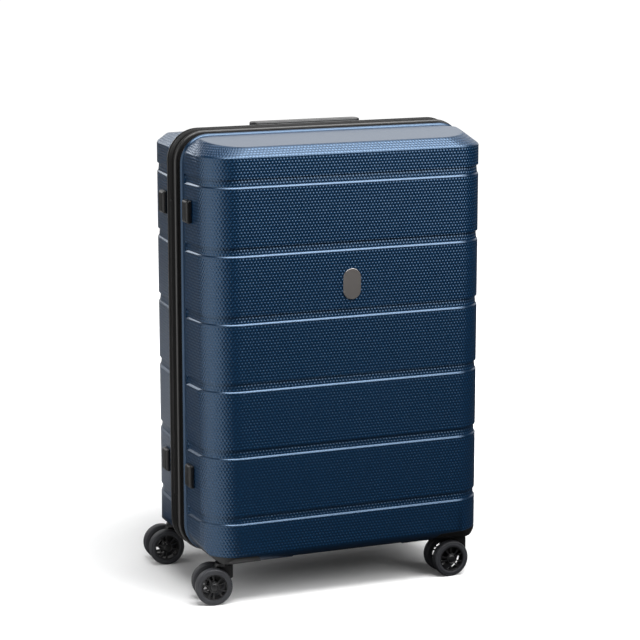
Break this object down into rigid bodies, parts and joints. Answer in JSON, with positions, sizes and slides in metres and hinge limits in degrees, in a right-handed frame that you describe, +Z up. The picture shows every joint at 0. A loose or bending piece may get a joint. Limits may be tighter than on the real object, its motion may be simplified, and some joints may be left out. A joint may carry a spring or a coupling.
{
  "type": "hard-shell suitcase",
  "caption": "Upright hard-shell suitcase in two zipped halves with cross grooves, telescopic trolley handle, carry handles, combination lock and swivelling twin-wheel casters.",
  "frame": {"origin": "on the floor, under the middle of the case's box", "axes": "+Z up, +X along the front face to the right seen from the front, +Y from the front half to the back"},
  "size_m": [0.5201, 0.314, 0.7516],
  "materials": {
    "shell": "navy, fine dotted grain",
    "ribbon": "woven black tape",
    "zip_teeth": "black coil",
    "lining": "dark grey lining cloth",
    "webbing": "woven webbing",
    "black_plastic": "satin black",
    "caster_plastic": "satin black",
    "tyre": "matt black",
    "steel": "zinc plated",
    "tube": "satin anodised",
    "badge": "satin grey",
    "button": "satin dark grey",
    "dial": "satin dark grey",
    "zip_metal": "gunmetal"
  },
  "bodies": {
    "back_half": {"back_shell": "shell", "back_lining": "lining", "back_zip_ribbon": "ribbon", "back_zip_teeth": "zip_teeth", "hinge_tape": "ribbon", "back_side_feet": "black_plastic", "packing_straps": "webbing", "strap_buckle": "black_plastic", "trolley_outer_tubes": "tube", "trolley_tray": "black_plastic", "trolley_bracket": "black_plastic", "top_handle_sockets": "black_plastic", "side_handle_sockets": "black_plastic", "lock_body": "black_plastic", "caster_housing_back_left": "black_plastic", "caster_housing_back_right": "black_plastic", "back_caster_fixings": "steel", "back_panel": "lining"},
    "front_half": {"front_shell": "shell", "front_lining": "lining", "front_zip_ribbon": "ribbon", "front_zip_teeth": "zip_teeth", "front_side_feet": "black_plastic", "badge_plate": "badge", "caster_housing_front_left": "black_plastic", "caster_housing_front_right": "black_plastic", "front_caster_fixings": "steel"},
    "trolley_middle": {"trolley_middle_tubes": "tube"},
    "trolley_inner": {"trolley_inner_tubes": "tube", "trolley_grip": "black_plastic", "button_spring": "steel"},
    "trolley_release": {"trolley_button": "button", "release_rods": "tube"},
    "top_handle": {"top_handle_grip": "black_plastic"},
    "side_handle": {"side_handle_grip": "black_plastic"},
    "zip_upper": {"zip_slider_upper": "zip_metal"},
    "zip_lower": {"zip_slider_lower": "zip_metal"},
    "pull_upper": {"zip_pull_upper": "zip_metal"},
    "pull_lower": {"zip_pull_lower": "zip_metal"},
    "dial_1": {"lock_dial_1": "dial"},
    "dial_2": {"lock_dial_2": "dial"},
    "dial_3": {"lock_dial_3": "dial"},
    "lock_push": {"lock_release": "button"},
    "swivel_front_left": {"caster_fork_front_left": "caster_plastic"},
    "wheels_front_left": {"wheel_axle_front_left": "steel", "wheel_rims_front_left": "caster_plastic", "wheel_tyres_front_left": "tyre"},
    "swivel_front_right": {"caster_fork_front_right": "caster_plastic"},
    "wheels_front_right": {"wheel_axle_front_right": "steel", "wheel_rims_front_right": "caster_plastic", "wheel_tyres_front_right": "tyre"},
    "swivel_back_left": {"caster_fork_back_left": "caster_plastic"},
    "wheels_back_left": {"wheel_axle_back_left": "steel", "wheel_rims_back_left": "caster_plastic", "wheel_tyres_back_left": "tyre"},
    "swivel_back_right": {"caster_fork_back_right": "caster_plastic"},
    "wheels_back_right": {"wheel_axle_back_right": "steel", "wheel_rims_back_right": "caster_plastic", "wheel_tyres_back_right": "tyre"}
  },
  "joints": [
    {"name": "front_open", "type": "hinge", "parent": "back_half", "child": "front_half", "pos_m": [-0.2545, -0.02, 0.3965], "axis": [0, 0, -1], "range_deg": [0, 175]},
    {"name": "trolley_stage_1", "type": "slide", "parent": "back_half", "child": "trolley_middle", "axis": [0, 0, 1], "range_m": [0, 0.18]},
    {"name": "trolley_stage_2", "type": "slide", "parent": "trolley_middle", "child": "trolley_inner", "axis": [0, 0, 1], "range_m": [0, 0.18]},
    {"name": "trolley_button_press", "type": "slide", "parent": "trolley_inner", "child": "trolley_release", "axis": [0, 0, -1], "range_m": [0, 0.004], "stiffness_N_per_m": 1500, "springref_m": -0.004, "deforming": ["button_spring"]},
    {"name": "top_handle_pull", "type": "slide", "parent": "back_half", "child": "top_handle", "axis": [0, 0, 1], "range_m": [0, 0.018]},
    {"name": "side_handle_pull", "type": "slide", "parent": "back_half", "child": "side_handle", "axis": [1, 0, 0], "range_m": [0, 0.018]},
    {"name": "zip_upper_run", "type": "slide", "parent": "back_half", "child": "zip_upper", "axis": [0, 0, 1], "range_m": [0, 0.265]},
    {"name": "zip_lower_run", "type": "slide", "parent": "back_half", "child": "zip_lower", "axis": [0, 0, 1], "range_m": [-0.255, 0]},
    {"name": "pull_upper_swing", "type": "hinge", "parent": "zip_upper", "child": "pull_upper", "pos_m": [0.2572, -0.02, 0.43], "axis": [0, -1, 0], "range_deg": [0, 170]},
    {"name": "pull_lower_swing", "type": "hinge", "parent": "zip_lower", "child": "pull_lower", "pos_m": [0.2572, -0.02, 0.38], "axis": [0, -1, 0], "range_deg": [0, 170]},
    {"name": "lock_push_in", "type": "slide", "parent": "back_half", "child": "lock_push", "axis": [-1, 0, 0], "range_m": [0, 0.002], "stiffness_N_per_m": 600, "springref_m": -0.001},
    {"name": "dial_1_turn", "type": "hinge", "parent": "back_half", "child": "dial_1", "pos_m": [0.2527, 0.022, 0.396], "axis": [0, 0, 1], "continuous": true},
    {"name": "dial_2_turn", "type": "hinge", "parent": "back_half", "child": "dial_2", "pos_m": [0.2527, 0.022, 0.405], "axis": [0, 0, 1], "continuous": true},
    {"name": "dial_3_turn", "type": "hinge", "parent": "back_half", "child": "dial_3", "pos_m": [0.2527, 0.022, 0.414], "axis": [0, 0, 1], "continuous": true},
    {"name": "swivel_front_left_turn", "type": "hinge", "parent": "front_half", "child": "swivel_front_left", "pos_m": [-0.2072, -0.1195, 0.056], "axis": [0, 0, 1], "continuous": true},
    {"name": "wheels_front_left_spin", "type": "hinge", "parent": "swivel_front_left", "child": "wheels_front_left", "pos_m": [-0.2269, -0.11603, 0.03], "axis": [0.1736, 0.9848, 0], "continuous": true},
    {"name": "swivel_front_right_turn", "type": "hinge", "parent": "front_half", "child": "swivel_front_right", "pos_m": [0.2072, -0.1195, 0.056], "axis": [0, 0, 1], "continuous": true},
    {"name": "wheels_front_right_spin", "type": "hinge", "parent": "swivel_front_right", "child": "wheels_front_right", "pos_m": [0.1872, -0.1195, 0.03], "axis": [0, 1, 0], "continuous": true},
    {"name": "swivel_back_left_turn", "type": "hinge", "parent": "back_half", "child": "swivel_back_left", "pos_m": [-0.2072, 0.1215, 0.056], "axis": [0, 0, 1], "continuous": true},
    {"name": "wheels_back_left_spin", "type": "hinge", "parent": "swivel_back_left", "child": "wheels_back_left", "pos_m": [-0.22716, 0.12272, 0.03], "axis": [0.061, 0.9981, 0], "continuous": true},
    {"name": "swivel_back_right_turn", "type": "hinge", "parent": "back_half", "child": "swivel_back_right", "pos_m": [0.2072, 0.1215, 0.056], "axis": [0, 0, 1], "continuous": true},
    {"name": "wheels_back_right_spin", "type": "hinge", "parent": "swivel_back_right", "child": "wheels_back_right", "pos_m": [0.1872, 0.1215, 0.03], "axis": [0, 1, 0], "continuous": true}
  ]
}
